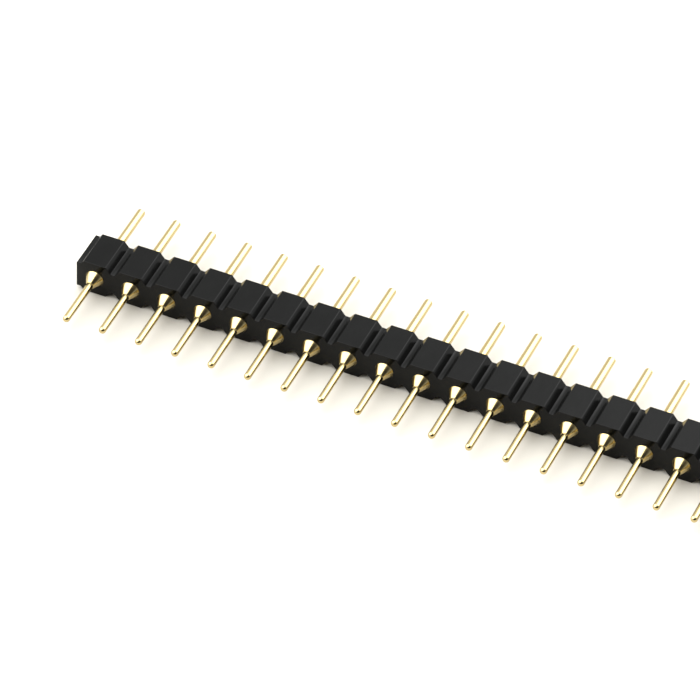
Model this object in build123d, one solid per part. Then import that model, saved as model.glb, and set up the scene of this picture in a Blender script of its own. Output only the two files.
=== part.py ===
from build123d import *
import os

# Single-row strip of turned header pins in a breakaway moulding, lying on its side.
# X runs along the row, Y along the pins (near pins at -Y), and Z is up from the surface.

# The row
positions = 40
pitch = 2.54

# The moulding: blocks joined by thin webs
block_depth = 2.9
block_height = 2.5
face_width = 1.54
web_width = 0.30
notch_depth = 0.45
end_notch_depth = 0.27
notch_root_radius = 0.03
block_edge_radius = 0.04

# The turned pins
near_pin_diameter = 0.48
near_length = 4.40
cone_length = 0.68
cone_base_diameter = 1.30
cone_end_diameter = 0.54
near_tip_radius = 0.22
far_pin_diameter = 0.59
far_length = 4.29
far_tip_radius = 0.12

# The barrel, which fills the moulding from face to face, and its bore
barrel_diameter = 0.98
barb_diameter = 1.06
barb_length = 0.25
barb_inset = 0.6
bore_clearance = 0.02
barb_clearance = 0.01

# Worked out from the sizes above
row_length = positions * pitch
half_depth = block_depth / 2
middle_height = block_height / 2
overall_shift = (near_length - far_length) / 2
barrel_bore_radius = barrel_diameter / 2 + bore_clearance
barb_bore_radius = barb_diameter / 2 + barb_clearance


def pin_x(index):
    """The X of a pin's axis, counted from 0 at the row's -X end."""
    return (index - (positions - 1) / 2) * pitch


def notch(depth):
    """The V notch between two blocks, open upwards, with its mouth centred on the origin."""
    half_mouth = (pitch - face_width) / 2
    half_root = web_width / 2
    half_root_here = half_mouth + (half_root - half_mouth) * depth / notch_depth
    lift = block_height
    return Polygon(
        (-half_mouth, 0),
        (-half_root_here, -depth),
        (half_root_here, -depth),
        (half_mouth, 0),
        (half_mouth, lift),
        (-half_mouth, lift),
        align=None,
    )


def row_outline():
    """The moulding's outline in X and Z: a bar with a notch over and under each web."""
    outline = Rectangle(row_length, block_height)
    for index in range(positions + 1):
        at_end = index in (0, positions)
        depth = end_notch_depth if at_end else notch_depth
        x = (index - positions / 2) * pitch
        cut = notch(depth)
        outline -= Pos(x, block_height / 2) * cut
        outline -= Pos(x, -block_height / 2) * Rot(0, 0, 180) * cut
    return outline


def rounded_outline():
    """The outline with rounded notch roots and barely broken block edges."""
    outline = row_outline()
    block_top = block_height / 2
    edges = [v for v in outline.vertices() if abs(abs(v.Y) - block_top) < 0.001]
    outline = fillet(edges, block_edge_radius)
    inner = row_length / 2 - pitch / 2
    root = block_top - notch_depth
    roots = [
        v
        for v in outline.vertices()
        if abs(abs(v.Y) - root) < 0.001 and abs(v.X) < inner
    ]
    return fillet(roots, notch_root_radius)


def barrel_steps(radius, barb_radius):
    """Radius and Y of each corner of the barrel or of its bore, from the near face inwards."""
    barb_start = -half_depth + barb_inset
    barb_end = barb_start + barb_length
    return [
        (radius, -half_depth),
        (radius, barb_start),
        (barb_radius, barb_end),
        (radius, barb_end),
        (radius, half_depth),
    ]


def turned(profile):
    """A solid turned about the Y axis from a closed profile of radius and Y."""
    return revolve(make_face(profile), axis=Axis.Y)


def bore():
    """The hole that one pin is pressed into, with a groove for its barb."""
    outline = Polyline(
        (0, -half_depth - 1),
        (barrel_bore_radius, -half_depth - 1),
        *barrel_steps(barrel_bore_radius, barb_bore_radius),
        (barrel_bore_radius, half_depth + 1),
        (0, half_depth + 1),
        close=True,
    )
    return turned(outline)


def make_insulator():
    """The black moulding with a bore through each block."""
    bar = extrude(Plane.XZ * rounded_outline(), block_depth / 2, both=True)
    holes = [Pos(pin_x(index), 0, 0) * bore() for index in range(positions)]
    return Pos(0, overall_shift, middle_height) * (bar - holes)


def make_pin():
    """One pin, turned in one piece, on the Y axis."""
    near_radius = near_pin_diameter / 2
    far_radius = far_pin_diameter / 2
    near_tip = -half_depth - near_length
    far_tip = half_depth + far_length
    cone_end = -half_depth - cone_length
    steps = barrel_steps(barrel_diameter / 2, barb_diameter / 2)
    near_flat = near_radius - near_tip_radius
    far_flat = far_radius - far_tip_radius
    near_round = RadiusArc(
        (near_flat, near_tip),
        (near_radius, near_tip + near_tip_radius),
        -near_tip_radius,
    )
    far_round = RadiusArc(
        (far_radius, far_tip - far_tip_radius),
        (far_flat, far_tip),
        -far_tip_radius,
    )
    body = Polyline(
        near_round @ 1,
        (near_radius, cone_end),
        (cone_end_diameter / 2, cone_end),
        (cone_base_diameter / 2, -half_depth),
        *steps,
        (far_radius, half_depth),
        far_round @ 0,
    )
    axis_side = Polyline(
        far_round @ 1,
        (0, far_tip),
        (0, near_tip),
        near_round @ 0,
    )
    return turned(near_round + body + far_round + axis_side)


def main():
    os.makedirs("parts", exist_ok=True)
    export_step(make_insulator(), "parts/insulator.step")
    pin = make_pin()
    for index in range(positions):
        placed = Pos(pin_x(index), overall_shift, middle_height) * pin
        export_step(placed, f"parts/pin_{index + 1:02d}.step")


if __name__ == "__main__":
    main()
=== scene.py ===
"""A breakaway strip of turned header pins: its moulding, its pins, and a stage to show it on."""

import math

import bmesh
import bpy
from bpy.props import FloatProperty, FloatVectorProperty, IntProperty, PointerProperty
from mathutils import Matrix, Vector


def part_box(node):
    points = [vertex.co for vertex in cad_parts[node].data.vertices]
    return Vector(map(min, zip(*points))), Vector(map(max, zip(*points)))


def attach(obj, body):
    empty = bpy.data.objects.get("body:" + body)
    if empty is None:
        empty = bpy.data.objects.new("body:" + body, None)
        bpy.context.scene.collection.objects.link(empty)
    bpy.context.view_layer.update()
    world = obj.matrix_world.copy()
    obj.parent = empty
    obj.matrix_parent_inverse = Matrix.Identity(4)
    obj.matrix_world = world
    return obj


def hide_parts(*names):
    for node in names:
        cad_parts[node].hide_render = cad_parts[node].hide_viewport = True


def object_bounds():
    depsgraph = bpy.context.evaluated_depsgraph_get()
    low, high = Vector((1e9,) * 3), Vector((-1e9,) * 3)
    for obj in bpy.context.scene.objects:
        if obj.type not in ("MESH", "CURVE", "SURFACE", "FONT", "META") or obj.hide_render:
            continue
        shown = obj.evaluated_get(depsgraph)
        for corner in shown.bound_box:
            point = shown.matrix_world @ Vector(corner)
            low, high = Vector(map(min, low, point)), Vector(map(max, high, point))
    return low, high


bl_info = {
    "name": "Turned-pin header strip",
    "version": (1, 0, 0),
    "blender": (4, 5, 0),
    "location": "View3D > Sidebar > Header strip",
    "description": "Builds the looks of a strip of turned header pins around its packed frame",
    "category": "Object",
}

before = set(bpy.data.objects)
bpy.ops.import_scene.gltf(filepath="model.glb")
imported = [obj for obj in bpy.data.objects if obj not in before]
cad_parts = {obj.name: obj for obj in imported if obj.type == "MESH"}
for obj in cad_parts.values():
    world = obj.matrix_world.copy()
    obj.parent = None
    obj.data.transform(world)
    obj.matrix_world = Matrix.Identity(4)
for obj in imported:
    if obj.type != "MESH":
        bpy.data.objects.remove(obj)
cad_low, cad_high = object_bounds()

MM = 0.001
IMAGE_SIDE = 700
SENSOR_WIDTH = 36.0
TUBE_WALL = 1e-9
FLOOR_DROP = 0.01 * MM

MOULDING_NODE = "insulator"
PIN_NODES = sorted(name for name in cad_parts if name.startswith("pin_"))


def middle_of(node):
    """The middle of a CAD node's box, in metres."""
    low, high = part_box(node)
    return (low + high) / 2


PITCH = (middle_of(PIN_NODES[1]) - middle_of(PIN_NODES[0])).x
MOULDING_LOW, MOULDING_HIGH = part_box(MOULDING_NODE)
PIN_LOW, PIN_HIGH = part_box(PIN_NODES[0])
PIN_AXIS_HEIGHT = (PIN_LOW.z + PIN_HIGH.z) / 2


def length(name, description, default, low=0.0):
    """A length in metres that a user may change."""
    return FloatProperty(
        name=name,
        description=description,
        default=default,
        min=low,
        precision=6,
        unit="LENGTH",
    )


def colour(name, description, default):
    """A linear colour that a user may change."""
    return FloatVectorProperty(
        name=name,
        description=description,
        default=default,
        min=0.0,
        max=1.0,
        subtype="COLOR",
        size=3,
    )


def share(name, description, default, high=1.0):
    """A plain number that a user may change."""
    return FloatProperty(
        name=name, description=description, default=default, min=0.0, max=high
    )


class MouldingSettings(bpy.types.PropertyGroup):
    """Sizes and finish of the black moulding."""

    face_width: length("Face width", "Width of a block's flat side", 1.54 * MM)
    web_width: length("Web width", "Width of a notch's root", 0.30 * MM)
    notch_depth: length("Notch depth", "Depth of a notch between blocks", 0.45 * MM)
    end_notch_depth: length("End notch depth", "Depth of the half notch at an end", 0.27 * MM)
    edge_radius: length("Edge radius", "Rounding of the blocks' edges", 0.045 * MM)
    root_radius: length("Root radius", "Rounding of the notches' roots", 0.03 * MM)
    rim_radius: length("Rim radius", "Rounding around the near and far faces", 0.03 * MM)
    plastic: colour("Plastic", "Body colour of the moulding", (0.0009, 0.0010, 0.0008))
    gloss: share("Gloss", "Strength of the moulded surface's reflections", 0.165)
    roughness: share("Roughness", "Roughness of the moulded surface", 0.16)


class PinSettings(bpy.types.PropertyGroup):
    """Sizes and finish of the turned pins."""

    near_diameter: length("Near diameter", "Diameter of the pin's near end", 0.48 * MM)
    far_diameter: length("Far diameter", "Diameter of the pin's far end", 0.59 * MM)
    cone_length: length("Cone length", "Length of the cone at the near face", 0.68 * MM)
    cone_end_diameter: length("Cone end diameter", "Diameter of the cone's small end", 0.54 * MM)
    far_tip_radius: length("Far tip radius", "Rounding of the far tip", 0.12 * MM)
    barrel_diameter: length("Barrel diameter", "Diameter inside the moulding", 0.98 * MM)
    barb_diameter: length("Barb diameter", "Diameter of the barb", 1.06 * MM)
    barb_length: length("Barb length", "Length of the barb", 0.25 * MM)
    barb_inset: length("Barb inset", "Depth at which the barb starts", 0.6 * MM)
    segments: IntProperty(
        name="Segments", description="Sides of a turned surface", default=64, min=12
    )
    gold: colour("Gold", "Colour of the plating", (0.56, 0.45, 0.22))
    roughness: share("Roughness", "Roughness of the plating", 0.14)
    anisotropy: share("Anisotropy", "Stretch of highlights along the pin", 0.5)


class StageSettings(bpy.types.PropertyGroup):
    """The floor, the light and the camera."""

    floor_size: length("Floor size", "Side of the floor", 8.0)
    floor_colour: colour("Floor", "Colour of the floor", (0.60, 0.58, 0.53))
    azimuth: FloatProperty(
        name="Azimuth",
        description="Camera's angle round the object",
        default=math.radians(22.55),
        subtype="ANGLE",
    )
    elevation: FloatProperty(
        name="Elevation",
        description="Camera's angle above the floor",
        default=math.radians(42.67),
        subtype="ANGLE",
    )
    roll: FloatProperty(
        name="Roll",
        description="Camera's turn about its own axis",
        default=math.radians(1.85),
        subtype="ANGLE",
    )
    distance: length("Distance", "Camera's distance from its target", 0.4546)
    focal_share: share(
        "Focal share", "Focal length over the image's width", 7150 / IMAGE_SIDE, 100.0
    )
    target_position: share(
        "Target position", "Pin that the camera looks near, counted from 0", 8.0, 100.0
    )
    target_offset: FloatVectorProperty(
        name="Target offset",
        description="Where the camera looks, from that pin's middle",
        default=(-2.641 * MM, -0.842 * MM, 0.255 * MM),
        size=3,
        subtype="TRANSLATION",
    )


# ---------------------------------------------------------------- shapes


def rounded(points, radii, steps=6):
    """The points of a chain with each corner rounded to its radius, in two dimensions."""
    chain = [Vector(p) for p in points]
    result = [chain[0]]
    for before, corner, after, radius in zip(chain, chain[1:], chain[2:], radii[1:-1]):
        to_before = (before - corner).normalized()
        to_after = (after - corner).normalized()
        turn = math.pi - to_before.angle(to_after)
        if radius <= 0 or turn < 1e-4:
            result.append(corner)
            continue
        reach = radius * math.tan(turn / 2)
        start = corner + to_before * reach
        finish = corner + to_after * reach
        centre = corner + (to_before + to_after).normalized() * (radius / math.cos(turn / 2))
        from_centre = start - centre
        swing = from_centre.angle_signed(finish - centre)
        count = max(1, round(steps * turn / (math.pi / 2)))
        for index in range(count + 1):
            part = Matrix.Rotation(-swing * index / count, 2) @ from_centre
            result.append(centre + part)
    result.append(chain[-1])
    return result


def new_object(name, mesh, material):
    """An object at the origin that shows a mesh in one material."""
    mesh.materials.clear()
    mesh.materials.append(material)
    piece = bpy.data.objects.new(name, mesh)
    bpy.context.scene.collection.objects.link(piece)
    return piece


def as_plain_mesh(piece, name):
    """The evaluated object's mesh, as a plain one."""
    evaluated = piece.evaluated_get(bpy.context.evaluated_depsgraph_get())
    mesh = bpy.data.meshes.new_from_object(
        evaluated, preserve_all_data_layers=True, depsgraph=bpy.context.evaluated_depsgraph_get()
    )
    mesh.name = name
    return mesh


def weigh_normals(piece):
    """Keeps flat faces flat beside their rounded edges, as a plain mesh."""
    modifier = piece.modifiers.new("Flat faces", "WEIGHTED_NORMAL")
    modifier.mode = "FACE_AREA"
    modifier.weight = 80
    modifier.keep_sharp = True
    mesh = as_plain_mesh(piece, piece.data.name)
    piece.modifiers.clear()
    old = piece.data
    piece.data = mesh
    bpy.data.meshes.remove(old)
    return piece


# ---------------------------------------------------------------- materials


def new_material(name):
    """An empty node material, its shader and its tree."""
    material = bpy.data.materials.new(name)
    material.use_nodes = True
    tree = material.node_tree
    return material, tree, tree.nodes["Principled BSDF"]


def stretched_noise(tree, scale, detail=3.0, roughness=0.55):
    """Noise on object coordinates, with its own scale along each axis."""
    place = tree.nodes.new("ShaderNodeTexCoord")
    mapping = tree.nodes.new("ShaderNodeMapping")
    mapping.inputs["Scale"].default_value = scale
    noise = tree.nodes.new("ShaderNodeTexNoise")
    noise.inputs["Scale"].default_value = 1.0
    noise.inputs["Detail"].default_value = detail
    noise.inputs["Roughness"].default_value = roughness
    tree.links.new(place.outputs["Object"], mapping.inputs["Vector"])
    tree.links.new(mapping.outputs["Vector"], noise.inputs["Vector"])
    return noise.outputs["Fac"]


def ranged(tree, value, low, high, from_low=0.3, from_high=0.7):
    """A value carried from one range to another."""
    node = tree.nodes.new("ShaderNodeMapRange")
    node.inputs["From Min"].default_value = from_low
    node.inputs["From Max"].default_value = from_high
    node.inputs["To Min"].default_value = low
    node.inputs["To Max"].default_value = high
    tree.links.new(value, node.inputs["Value"])
    return node.outputs["Result"]


def blended(tree, value, first, second):
    """A colour between two, by a value."""
    node = tree.nodes.new("ShaderNodeMix")
    node.data_type = "RGBA"
    node.inputs["A"].default_value = (*first, 1.0)
    node.inputs["B"].default_value = (*second, 1.0)
    tree.links.new(value, node.inputs["Factor"])
    return node.outputs["Result"]


def bumped(tree, height, distance, strength=1.0, normal=None):
    """A normal roughened by a height, over another if there is one."""
    node = tree.nodes.new("ShaderNodeBump")
    node.inputs["Distance"].default_value = distance
    node.inputs["Strength"].default_value = strength
    tree.links.new(height, node.inputs["Height"])
    if normal is not None:
        tree.links.new(normal, node.inputs["Normal"])
    return node.outputs["Normal"]


def lighter(shade, factor):
    """A colour scaled by a factor."""
    return tuple(min(1.0, part * factor) for part in shade)


def moulded_plastic(settings):
    """Black moulded plastic with a fine tooled grain and slow changes of gloss."""
    material, tree, shader = new_material("Moulded black plastic")
    flow = stretched_noise(tree, (900, 500, 900), 2.0)
    grain = stretched_noise(tree, (30000, 30000, 30000), 2.0)
    base = blended(tree, flow, settings.plastic, lighter(settings.plastic, 1.4))
    tree.links.new(base, shader.inputs["Base Color"])
    gloss = ranged(tree, flow, settings.roughness * 0.85, settings.roughness * 1.15)
    tree.links.new(gloss, shader.inputs["Roughness"])
    shader.inputs["IOR"].default_value = 1.5
    shader.inputs["Specular IOR Level"].default_value = settings.gloss
    normal = bumped(tree, grain, 0.6e-6, 0.5)
    normal = bumped(tree, flow, 6e-6, 0.5, normal)
    tree.links.new(normal, shader.inputs["Normal"])
    return material


def turned_gold(settings):
    """Pale gold plating over fine turning marks."""
    material, tree, shader = new_material("Gold over turned brass")
    rings = stretched_noise(tree, (500, 26000, 500), 2.0)
    tone = stretched_noise(tree, (1500, 700, 1500), 2.0)
    base = blended(tree, tone, lighter(settings.gold, 0.94), lighter(settings.gold, 1.05))
    tree.links.new(base, shader.inputs["Base Color"])
    shader.inputs["Metallic"].default_value = 1.0
    gloss = ranged(tree, rings, settings.roughness * 0.8, settings.roughness * 1.25)
    tree.links.new(gloss, shader.inputs["Roughness"])
    shader.inputs["Anisotropic"].default_value = settings.anisotropy
    along = tree.nodes.new("ShaderNodeTangent")
    along.direction_type = "UV_MAP"
    along.uv_map = "Turned"
    tree.links.new(along.outputs["Tangent"], shader.inputs["Tangent"])
    normal = bumped(tree, rings, 0.9e-6, 0.6)
    tree.links.new(normal, shader.inputs["Normal"])
    return material


# ---------------------------------------------------------------- the moulding


def block_chain(settings, end):
    """The outer skin of one block in X and Z, from its +X notch root round to the next.

    An ordinary block gives its upper chain only. An end block's chain runs over the top,
    down its free end at -X, and back under the block.
    """
    half_pitch = PITCH / 2
    top = (MOULDING_HIGH.z - MOULDING_LOW.z) / 2
    root = top - settings.notch_depth
    half_face = settings.face_width / 2
    foot = half_pitch - settings.web_width / 2
    upper = [(half_pitch, root), (foot, root), (half_face, top), (-half_face, top)]
    radii = [0, settings.root_radius, settings.edge_radius, settings.edge_radius]
    if not end:
        chain = upper + [(-foot, root), (-half_pitch, root)]
        return rounded(chain, radii + [settings.root_radius, 0])
    slope = (foot - half_face) / settings.notch_depth
    shelf = top - settings.end_notch_depth
    shelf_foot = half_face + slope * settings.end_notch_depth
    upper += [(-shelf_foot, shelf), (-half_pitch, shelf)]
    radii += [settings.root_radius * 0.5, settings.edge_radius]
    lower = [(x, -z) for x, z in reversed(upper)]
    return rounded(upper + lower, radii + list(reversed(radii)))


def chain_normals(chain):
    """The outward direction at each point of a chain that runs anticlockwise."""
    normals = []
    for index, point in enumerate(chain):
        sides = []
        if index > 0:
            step = (point - chain[index - 1]).normalized()
            sides.append(Vector((step.y, -step.x)))
        if index < len(chain) - 1:
            step = (chain[index + 1] - point).normalized()
            sides.append(Vector((step.y, -step.x)))
        normal = sum(sides, Vector((0, 0))).normalized()
        normals.append(normal / max(0.5, normal.dot(sides[0])))
    return normals


def rim_steps(depth, radius, count=4):
    """Inset and Y of each row of a skin, from the near face's rounded rim to the far one's."""
    rows = []
    for index in range(count + 1):
        angle = math.pi / 2 * index / count
        rows.append((radius * (1 - math.sin(angle)), -depth / 2 + radius * (1 - math.cos(angle))))
    return rows + [(inset, -y) for inset, y in reversed(rows)]


def bore_steps(pins):
    """Radius and Y of each step of the bore, from the near face inwards."""
    near = MOULDING_LOW.y
    clearance = 0.02 * MM
    barrel = pins.barrel_diameter / 2 + clearance
    barb = pins.barb_diameter / 2 + clearance / 2
    barb_start = near + pins.barb_inset
    barb_end = barb_start + pins.barb_length
    return [
        (barrel, near),
        (barrel, barb_start),
        (barb, barb_end),
        (barrel, barb_end + TUBE_WALL),
        (barrel, MOULDING_HIGH.y),
    ]


def block_mesh(name, settings, pins, end=False):
    """One block of the moulding about the origin, with its bore, open where webs join it."""
    depth = MOULDING_HIGH.y - MOULDING_LOW.y
    middle_y = (MOULDING_LOW.y + MOULDING_HIGH.y) / 2
    shape = bmesh.new()
    upper = block_chain(settings, end)
    chains = [upper]
    if not end:
        chains.append([Vector((-p.x, -p.y)) for p in upper])
    rims = {0: [], -1: []}
    for chain in chains:
        normals = chain_normals(chain)
        rows = []
        for inset, y in rim_steps(depth, settings.rim_radius):
            rows.append(
                [
                    shape.verts.new((p.x - n.x * inset, middle_y + y, p.y - n.y * inset))
                    for p, n in zip(chain, normals)
                ]
            )
        for row, following in zip(rows, rows[1:]):
            for index in range(len(chain) - 1):
                shape.faces.new(
                    (row[index], row[index + 1], following[index + 1], following[index])
                )
        for side in rims:
            rims[side].append(rows[side])
    bore = []
    for radius, y in bore_steps(pins):
        ring = []
        for index in range(32):
            angle = 2 * math.pi * index / 32
            ring.append(shape.verts.new((radius * math.cos(angle), y, radius * math.sin(angle))))
        bore.append(ring)
    for ring, following in zip(bore, bore[1:]):
        for index in range(32):
            after = (index + 1) % 32
            shape.faces.new((ring[index], ring[after], following[after], following[index]))
    for side in rims:
        lines = rims[side]
        outline = [v for line in lines for v in line]
        edges = []
        for index, vertex in enumerate(outline):
            other = outline[(index + 1) % len(outline)]
            edges.append(shape.edges.get((vertex, other)) or shape.edges.new((vertex, other)))
        ring = bore[side]
        for index in range(32):
            edges.append(shape.edges.get((ring[index], ring[(index + 1) % 32])))
        bmesh.ops.triangle_fill(shape, use_beauty=True, use_dissolve=False, edges=edges)
    bmesh.ops.recalc_face_normals(shape, faces=shape.faces)
    mesh = bpy.data.meshes.new(name)
    shape.to_mesh(mesh)
    shape.free()
    return mesh


def row_tree(material):
    """A node tree that sets blocks in a row between two end blocks."""
    tree = bpy.data.node_groups.new("Row of blocks", "GeometryNodeTree")
    face = tree.interface
    face.new_socket("Geometry", in_out="INPUT", socket_type="NodeSocketGeometry")
    face.new_socket("Block", in_out="INPUT", socket_type="NodeSocketObject")
    face.new_socket("End block", in_out="INPUT", socket_type="NodeSocketObject")
    face.new_socket("Positions", in_out="INPUT", socket_type="NodeSocketInt")
    face.new_socket("Pitch", in_out="INPUT", socket_type="NodeSocketFloat")
    face.new_socket("Seam", in_out="INPUT", socket_type="NodeSocketFloat")
    face.new_socket("Geometry", in_out="OUTPUT", socket_type="NodeSocketGeometry")
    add, link = tree.nodes.new, tree.links.new
    given, result = add("NodeGroupInput"), add("NodeGroupOutput")

    def maths(operation, first, second):
        node = add("ShaderNodeMath")
        node.operation = operation
        for socket, value in zip(node.inputs, (first, second)):
            if isinstance(value, (int, float)):
                socket.default_value = value
            else:
                link(value, socket)
        return node.outputs[0]

    def along_x(value):
        node = add("ShaderNodeCombineXYZ")
        link(value, node.inputs["X"])
        return node.outputs[0]

    count = maths("SUBTRACT", given.outputs["Positions"], 2)
    first = maths("MULTIPLY", maths("SUBTRACT", count, 1), -0.5)
    start = maths("MULTIPLY", first, given.outputs["Pitch"])
    line = add("GeometryNodeMeshLine")
    line.mode = "OFFSET"
    link(count, line.inputs["Count"])
    link(along_x(start), line.inputs["Start Location"])
    link(along_x(given.outputs["Pitch"]), line.inputs["Offset"])
    block = add("GeometryNodeObjectInfo")
    link(given.outputs["Block"], block.inputs["Object"])
    blocks = add("GeometryNodeInstanceOnPoints")
    link(line.outputs["Mesh"], blocks.inputs["Points"])
    link(block.outputs["Geometry"], blocks.inputs["Instance"])
    end = add("GeometryNodeObjectInfo")
    link(given.outputs["End block"], end.inputs["Object"])
    joined = add("GeometryNodeJoinGeometry")
    link(blocks.outputs["Instances"], joined.inputs["Geometry"])
    outer = maths("SUBTRACT", start, given.outputs["Pitch"])
    for turn, place in ((0.0, outer), (math.pi, maths("MULTIPLY", outer, -1.0))):
        spot = add("GeometryNodeTransform")
        spot.inputs["Rotation"].default_value = (0.0, turn, 0.0)
        link(end.outputs["Geometry"], spot.inputs["Geometry"])
        link(along_x(place), spot.inputs["Translation"])
        link(spot.outputs["Geometry"], joined.inputs["Geometry"])
    real = add("GeometryNodeRealizeInstances")
    link(joined.outputs["Geometry"], real.inputs["Geometry"])
    merged = add("GeometryNodeMergeByDistance")
    link(real.outputs["Geometry"], merged.inputs["Geometry"])
    link(given.outputs["Seam"], merged.inputs["Distance"])
    painted = add("GeometryNodeSetMaterial")
    painted.inputs["Material"].default_value = material
    link(merged.outputs["Geometry"], painted.inputs["Geometry"])
    link(painted.outputs["Geometry"], result.inputs["Geometry"])
    return tree


def set_inputs(modifier, values):
    """Gives a node modifier its inputs by their identifiers."""
    for item in modifier.node_group.interface.items_tree:
        if item.item_type == "SOCKET" and item.in_out == "INPUT" and item.name in values:
            modifier[item.identifier] = values[item.name]


class HEADER_OT_moulding(bpy.types.Operator):
    """Makes the black moulding, a row of blocks joined by webs"""

    bl_idname = "header.moulding"
    bl_label = "Moulding"

    def execute(self, context):
        settings = context.scene.header_moulding
        pins = context.scene.header_pins
        material = moulded_plastic(settings)
        block = new_object("block", block_mesh("block", settings, pins), material)
        end = new_object("end_block", block_mesh("end_block", settings, pins, True), material)
        carrier = new_object("row", bpy.data.meshes.new("row"), material)
        modifier = carrier.modifiers.new("Row", "NODES")
        modifier.node_group = row_tree(material)
        set_inputs(
            modifier,
            {
                "Block": block,
                "End block": end,
                "Positions": len(PIN_NODES),
                "Pitch": PITCH,
                "Seam": 1e-6,
            },
        )
        mesh = as_plain_mesh(carrier, "moulding")
        for helper in (carrier, block, end):
            bpy.data.objects.remove(helper)
        mesh.transform(Matrix.Translation((0, 0, PIN_AXIS_HEIGHT)))
        mesh.set_sharp_from_angle(angle=math.radians(50))
        piece = weigh_normals(new_object("moulding", mesh, material))
        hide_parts(MOULDING_NODE)
        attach(piece, "root")
        return {"FINISHED"}


# ---------------------------------------------------------------- the pins


def pin_profile(settings):
    """Radius and Y along a pin's outline, from its near tip to its far tip."""
    near = settings.near_diameter / 2
    far = settings.far_diameter / 2
    barrel = settings.barrel_diameter / 2
    barb = settings.barb_diameter / 2
    face = MOULDING_LOW.y
    cone_end = face - settings.cone_length
    barb_start = face + settings.barb_inset
    barb_end = barb_start + settings.barb_length
    base = (PIN_HIGH.z - PIN_LOW.z) / 2
    corners = [
        (0, PIN_LOW.y, 0),
        (near, PIN_LOW.y, near * 0.995),
        (near, cone_end, 0.02 * MM),
        (settings.cone_end_diameter / 2, cone_end, 0.015 * MM),
        (base, face, 0.015 * MM),
        (barrel, face, 0),
        (barrel, barb_start, 0),
        (barb, barb_end, 0),
        (barrel, barb_end, 0),
        (barrel, MOULDING_HIGH.y, 0.02 * MM),
        (far, MOULDING_HIGH.y, 0),
        (far, PIN_HIGH.y, settings.far_tip_radius),
        (0, PIN_HIGH.y, 0),
    ]
    chain = [(radius, y) for radius, y, _ in corners]
    return rounded(chain, [corner[2] for corner in corners], steps=12)


def turned_mesh(name, profile, segments, x):
    """A closed mesh turned from a profile about an axis along Y at a given X."""
    shape = bmesh.new()
    uv = shape.loops.layers.uv.new("Turned")
    total = sum((b - a).length for a, b in zip(profile, profile[1:]))
    travelled = 0.0
    rings, stations = [], []
    for index, point in enumerate(profile):
        if index:
            travelled += (point - profile[index - 1]).length
        stations.append(travelled / total)
        if point.x < 1e-9:
            rings.append([shape.verts.new((x, point.y, PIN_AXIS_HEIGHT))])
            continue
        ring = []
        for step in range(segments):
            angle = 2 * math.pi * step / segments
            across = point.x * math.cos(angle)
            up = point.x * math.sin(angle)
            ring.append(shape.verts.new((x + across, point.y, PIN_AXIS_HEIGHT + up)))
        rings.append(ring)
    for index in range(len(rings) - 1):
        for step in range(segments):
            after = step + 1
            corners = [(index, step), (index, after), (index + 1, after), (index + 1, step)]
            if len(rings[index]) == 1:
                corners = [(index, step), corners[2], corners[3]]
            elif len(rings[index + 1]) == 1:
                corners = [corners[0], corners[1], (index + 1, step)]
            face = shape.faces.new(
                [rings[r][s % len(rings[r])] if len(rings[r]) > 1 else rings[r][0] for r, s in corners]
            )
            face.smooth = True
            for loop, (r, s) in zip(face.loops, corners):
                loop[uv].uv = (stations[r], s / segments)
    bmesh.ops.recalc_face_normals(shape, faces=shape.faces)
    mesh = bpy.data.meshes.new(name)
    shape.to_mesh(mesh)
    shape.free()
    mesh.set_sharp_from_angle(angle=math.radians(40))
    return mesh


class HEADER_OT_pins(bpy.types.Operator):
    """Makes one turned pin for each position of the row"""

    bl_idname = "header.pins"
    bl_label = "Pins"

    def execute(self, context):
        settings = context.scene.header_pins
        material = turned_gold(settings)
        profile = pin_profile(settings)
        for node in PIN_NODES:
            mesh = turned_mesh(node, profile, settings.segments, middle_of(node).x)
            piece = weigh_normals(new_object("turned_" + node, mesh, material))
            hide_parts(node)
            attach(piece, "root")
        return {"FINISHED"}


# ---------------------------------------------------------------- the stage


def add_floor(settings):
    """A plain pale floor under the strip."""
    material, _, shader = new_material("Pale floor")
    shader.inputs["Base Color"].default_value = (*settings.floor_colour, 1.0)
    shader.inputs["Roughness"].default_value = 0.9
    shader.inputs["Specular IOR Level"].default_value = 0.1
    half = settings.floor_size / 2
    mesh = bpy.data.meshes.new("floor")
    height = cad_low.z - FLOOR_DROP
    corners = [(-half, -half), (half, -half), (half, half), (-half, half)]
    mesh.from_pydata([(x, y, height) for x, y in corners], [], [(0, 1, 2, 3)])
    floor = new_object("floor", mesh, material)


LIGHT_PATCHES = (
    # direction, brightness over the base, half angle in degrees, soft edge in degrees
    ((-0.55, -0.19, 0.81), 3.3, 43, 7),
    ((0.33, 0.72, 0.61), 3.4, 30, 7),
    ((0.80, -0.30, 0.52), -0.6, 38, 14),
    ((0.35, -0.88, 0.30), -1.1, 50, 8),
)
BASE_LIGHT = 1.05
LEAST_LIGHT = 0.04


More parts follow.
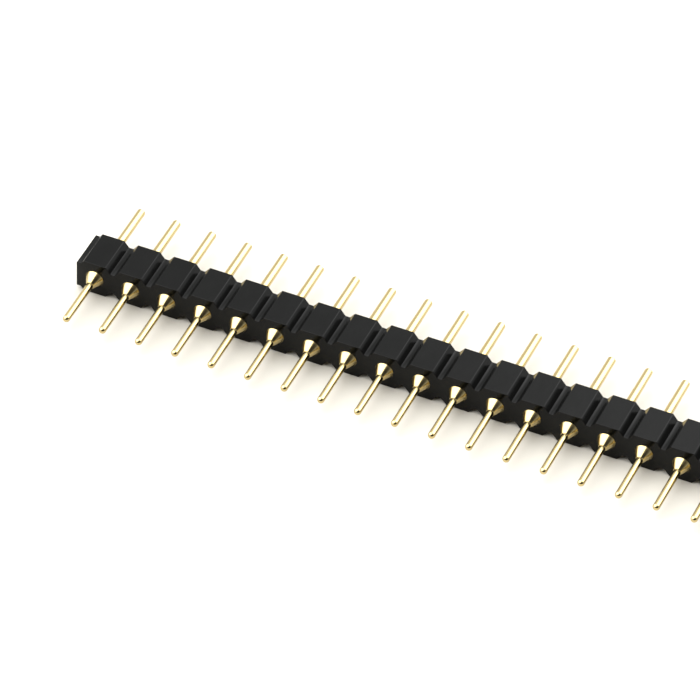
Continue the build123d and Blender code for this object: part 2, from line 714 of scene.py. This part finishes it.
def add_light():
    """A soft studio surround: pale all round, brighter at the left and back, dim at the front."""
    world = bpy.data.worlds.new("Studio")
    bpy.context.scene.world = world
    world.use_nodes = True
    tree = world.node_tree
    background = tree.nodes["Background"]
    place = tree.nodes.new("ShaderNodeTexCoord")
    total = None
    for direction, brightness, half_angle, soft in LIGHT_PATCHES:
        towards = tree.nodes.new("ShaderNodeVectorMath")
        towards.operation = "DOT_PRODUCT"
        tree.links.new(place.outputs["Generated"], towards.inputs[0])
        towards.inputs[1].default_value = Vector(direction).normalized()
        patch = tree.nodes.new("ShaderNodeMapRange")
        patch.interpolation_type = "SMOOTHSTEP"
        patch.inputs["From Min"].default_value = math.cos(math.radians(half_angle + soft))
        patch.inputs["From Max"].default_value = math.cos(math.radians(half_angle - soft))
        patch.inputs["To Min"].default_value = 0.0
        patch.inputs["To Max"].default_value = brightness
        tree.links.new(towards.outputs["Value"], patch.inputs["Value"])
        added = tree.nodes.new("ShaderNodeMath")
        added.operation = "ADD"
        if total is None:
            added.inputs[0].default_value = BASE_LIGHT
        else:
            tree.links.new(total, added.inputs[0])
        tree.links.new(patch.outputs["Result"], added.inputs[1])
        total = added.outputs[0]
    lowest = tree.nodes.new("ShaderNodeMath")
    lowest.operation = "MAXIMUM"
    lowest.inputs[1].default_value = LEAST_LIGHT
    tree.links.new(total, lowest.inputs[0])
    tree.links.new(lowest.outputs[0], background.inputs["Strength"])
    background.inputs["Color"].default_value = (1.0, 1.0, 1.0, 1.0)


def add_camera(settings):
    """The camera, with its slight roll."""
    azimuth, elevation = settings.azimuth, settings.elevation
    back = Vector(
        (
            math.sin(azimuth) * math.cos(elevation),
            -math.cos(azimuth) * math.cos(elevation),
            math.sin(elevation),
        )
    )
    first = middle_of(PIN_NODES[0])
    middle_y = (MOULDING_LOW.y + MOULDING_HIGH.y) / 2
    target = Vector((first.x + settings.target_position * PITCH, middle_y, PIN_AXIS_HEIGHT))
    target += Vector(settings.target_offset)
    data = bpy.data.cameras.new("Camera")
    data.sensor_width = SENSOR_WIDTH
    data.lens = settings.focal_share * SENSOR_WIDTH
    data.clip_start, data.clip_end = 0.01, 100.0
    camera = bpy.data.objects.new("Camera", data)
    bpy.context.scene.collection.objects.link(camera)
    camera.rotation_mode = "QUATERNION"
    turn = (-back).to_track_quat("-Z", "Y")
    camera.rotation_quaternion = turn @ Matrix.Rotation(settings.roll, 3, "Z").to_quaternion()
    camera.location = target + back * settings.distance
    bpy.context.scene.camera = camera


class HEADER_OT_stage(bpy.types.Operator):
    """Adds the floor, the light and the camera"""

    bl_idname = "header.stage"
    bl_label = "Stage"

    def execute(self, context):
        settings = context.scene.header_stage
        add_floor(settings)
        add_light()
        add_camera(settings)
        context.scene.view_settings.view_transform = "Standard"
        return {"FINISHED"}


class HEADER_PT_strip(bpy.types.Panel):
    """Lists the pieces of the strip"""

    bl_idname = "HEADER_PT_strip"
    bl_label = "Header strip"
    bl_space_type = "VIEW_3D"
    bl_region_type = "UI"
    bl_category = "Header strip"

    def draw(self, context):
        for operator in OPERATORS:
            self.layout.operator(operator.bl_idname)


OPERATORS = (HEADER_OT_moulding, HEADER_OT_pins, HEADER_OT_stage)
GROUPS = {
    "header_moulding": MouldingSettings,
    "header_pins": PinSettings,
    "header_stage": StageSettings,
}


def register():
    """Adds the settings, the operators and the panel."""
    for group in GROUPS.values():
        bpy.utils.register_class(group)
    for operator in OPERATORS:
        bpy.utils.register_class(operator)
    bpy.utils.register_class(HEADER_PT_strip)
    for name, group in GROUPS.items():
        setattr(bpy.types.Scene, name, PointerProperty(type=group))


def unregister():
    """Takes away what register added."""
    for name in GROUPS:
        delattr(bpy.types.Scene, name)
    bpy.utils.unregister_class(HEADER_PT_strip)
    for operator in reversed(OPERATORS):
        bpy.utils.unregister_class(operator)
    for group in reversed(list(GROUPS.values())):
        bpy.utils.unregister_class(group)


def main():
    """Builds every piece and the stage."""
    register()
    bpy.ops.header.moulding()
    bpy.ops.header.pins()
    bpy.ops.header.stage()


if __name__ == "__main__":
    main()
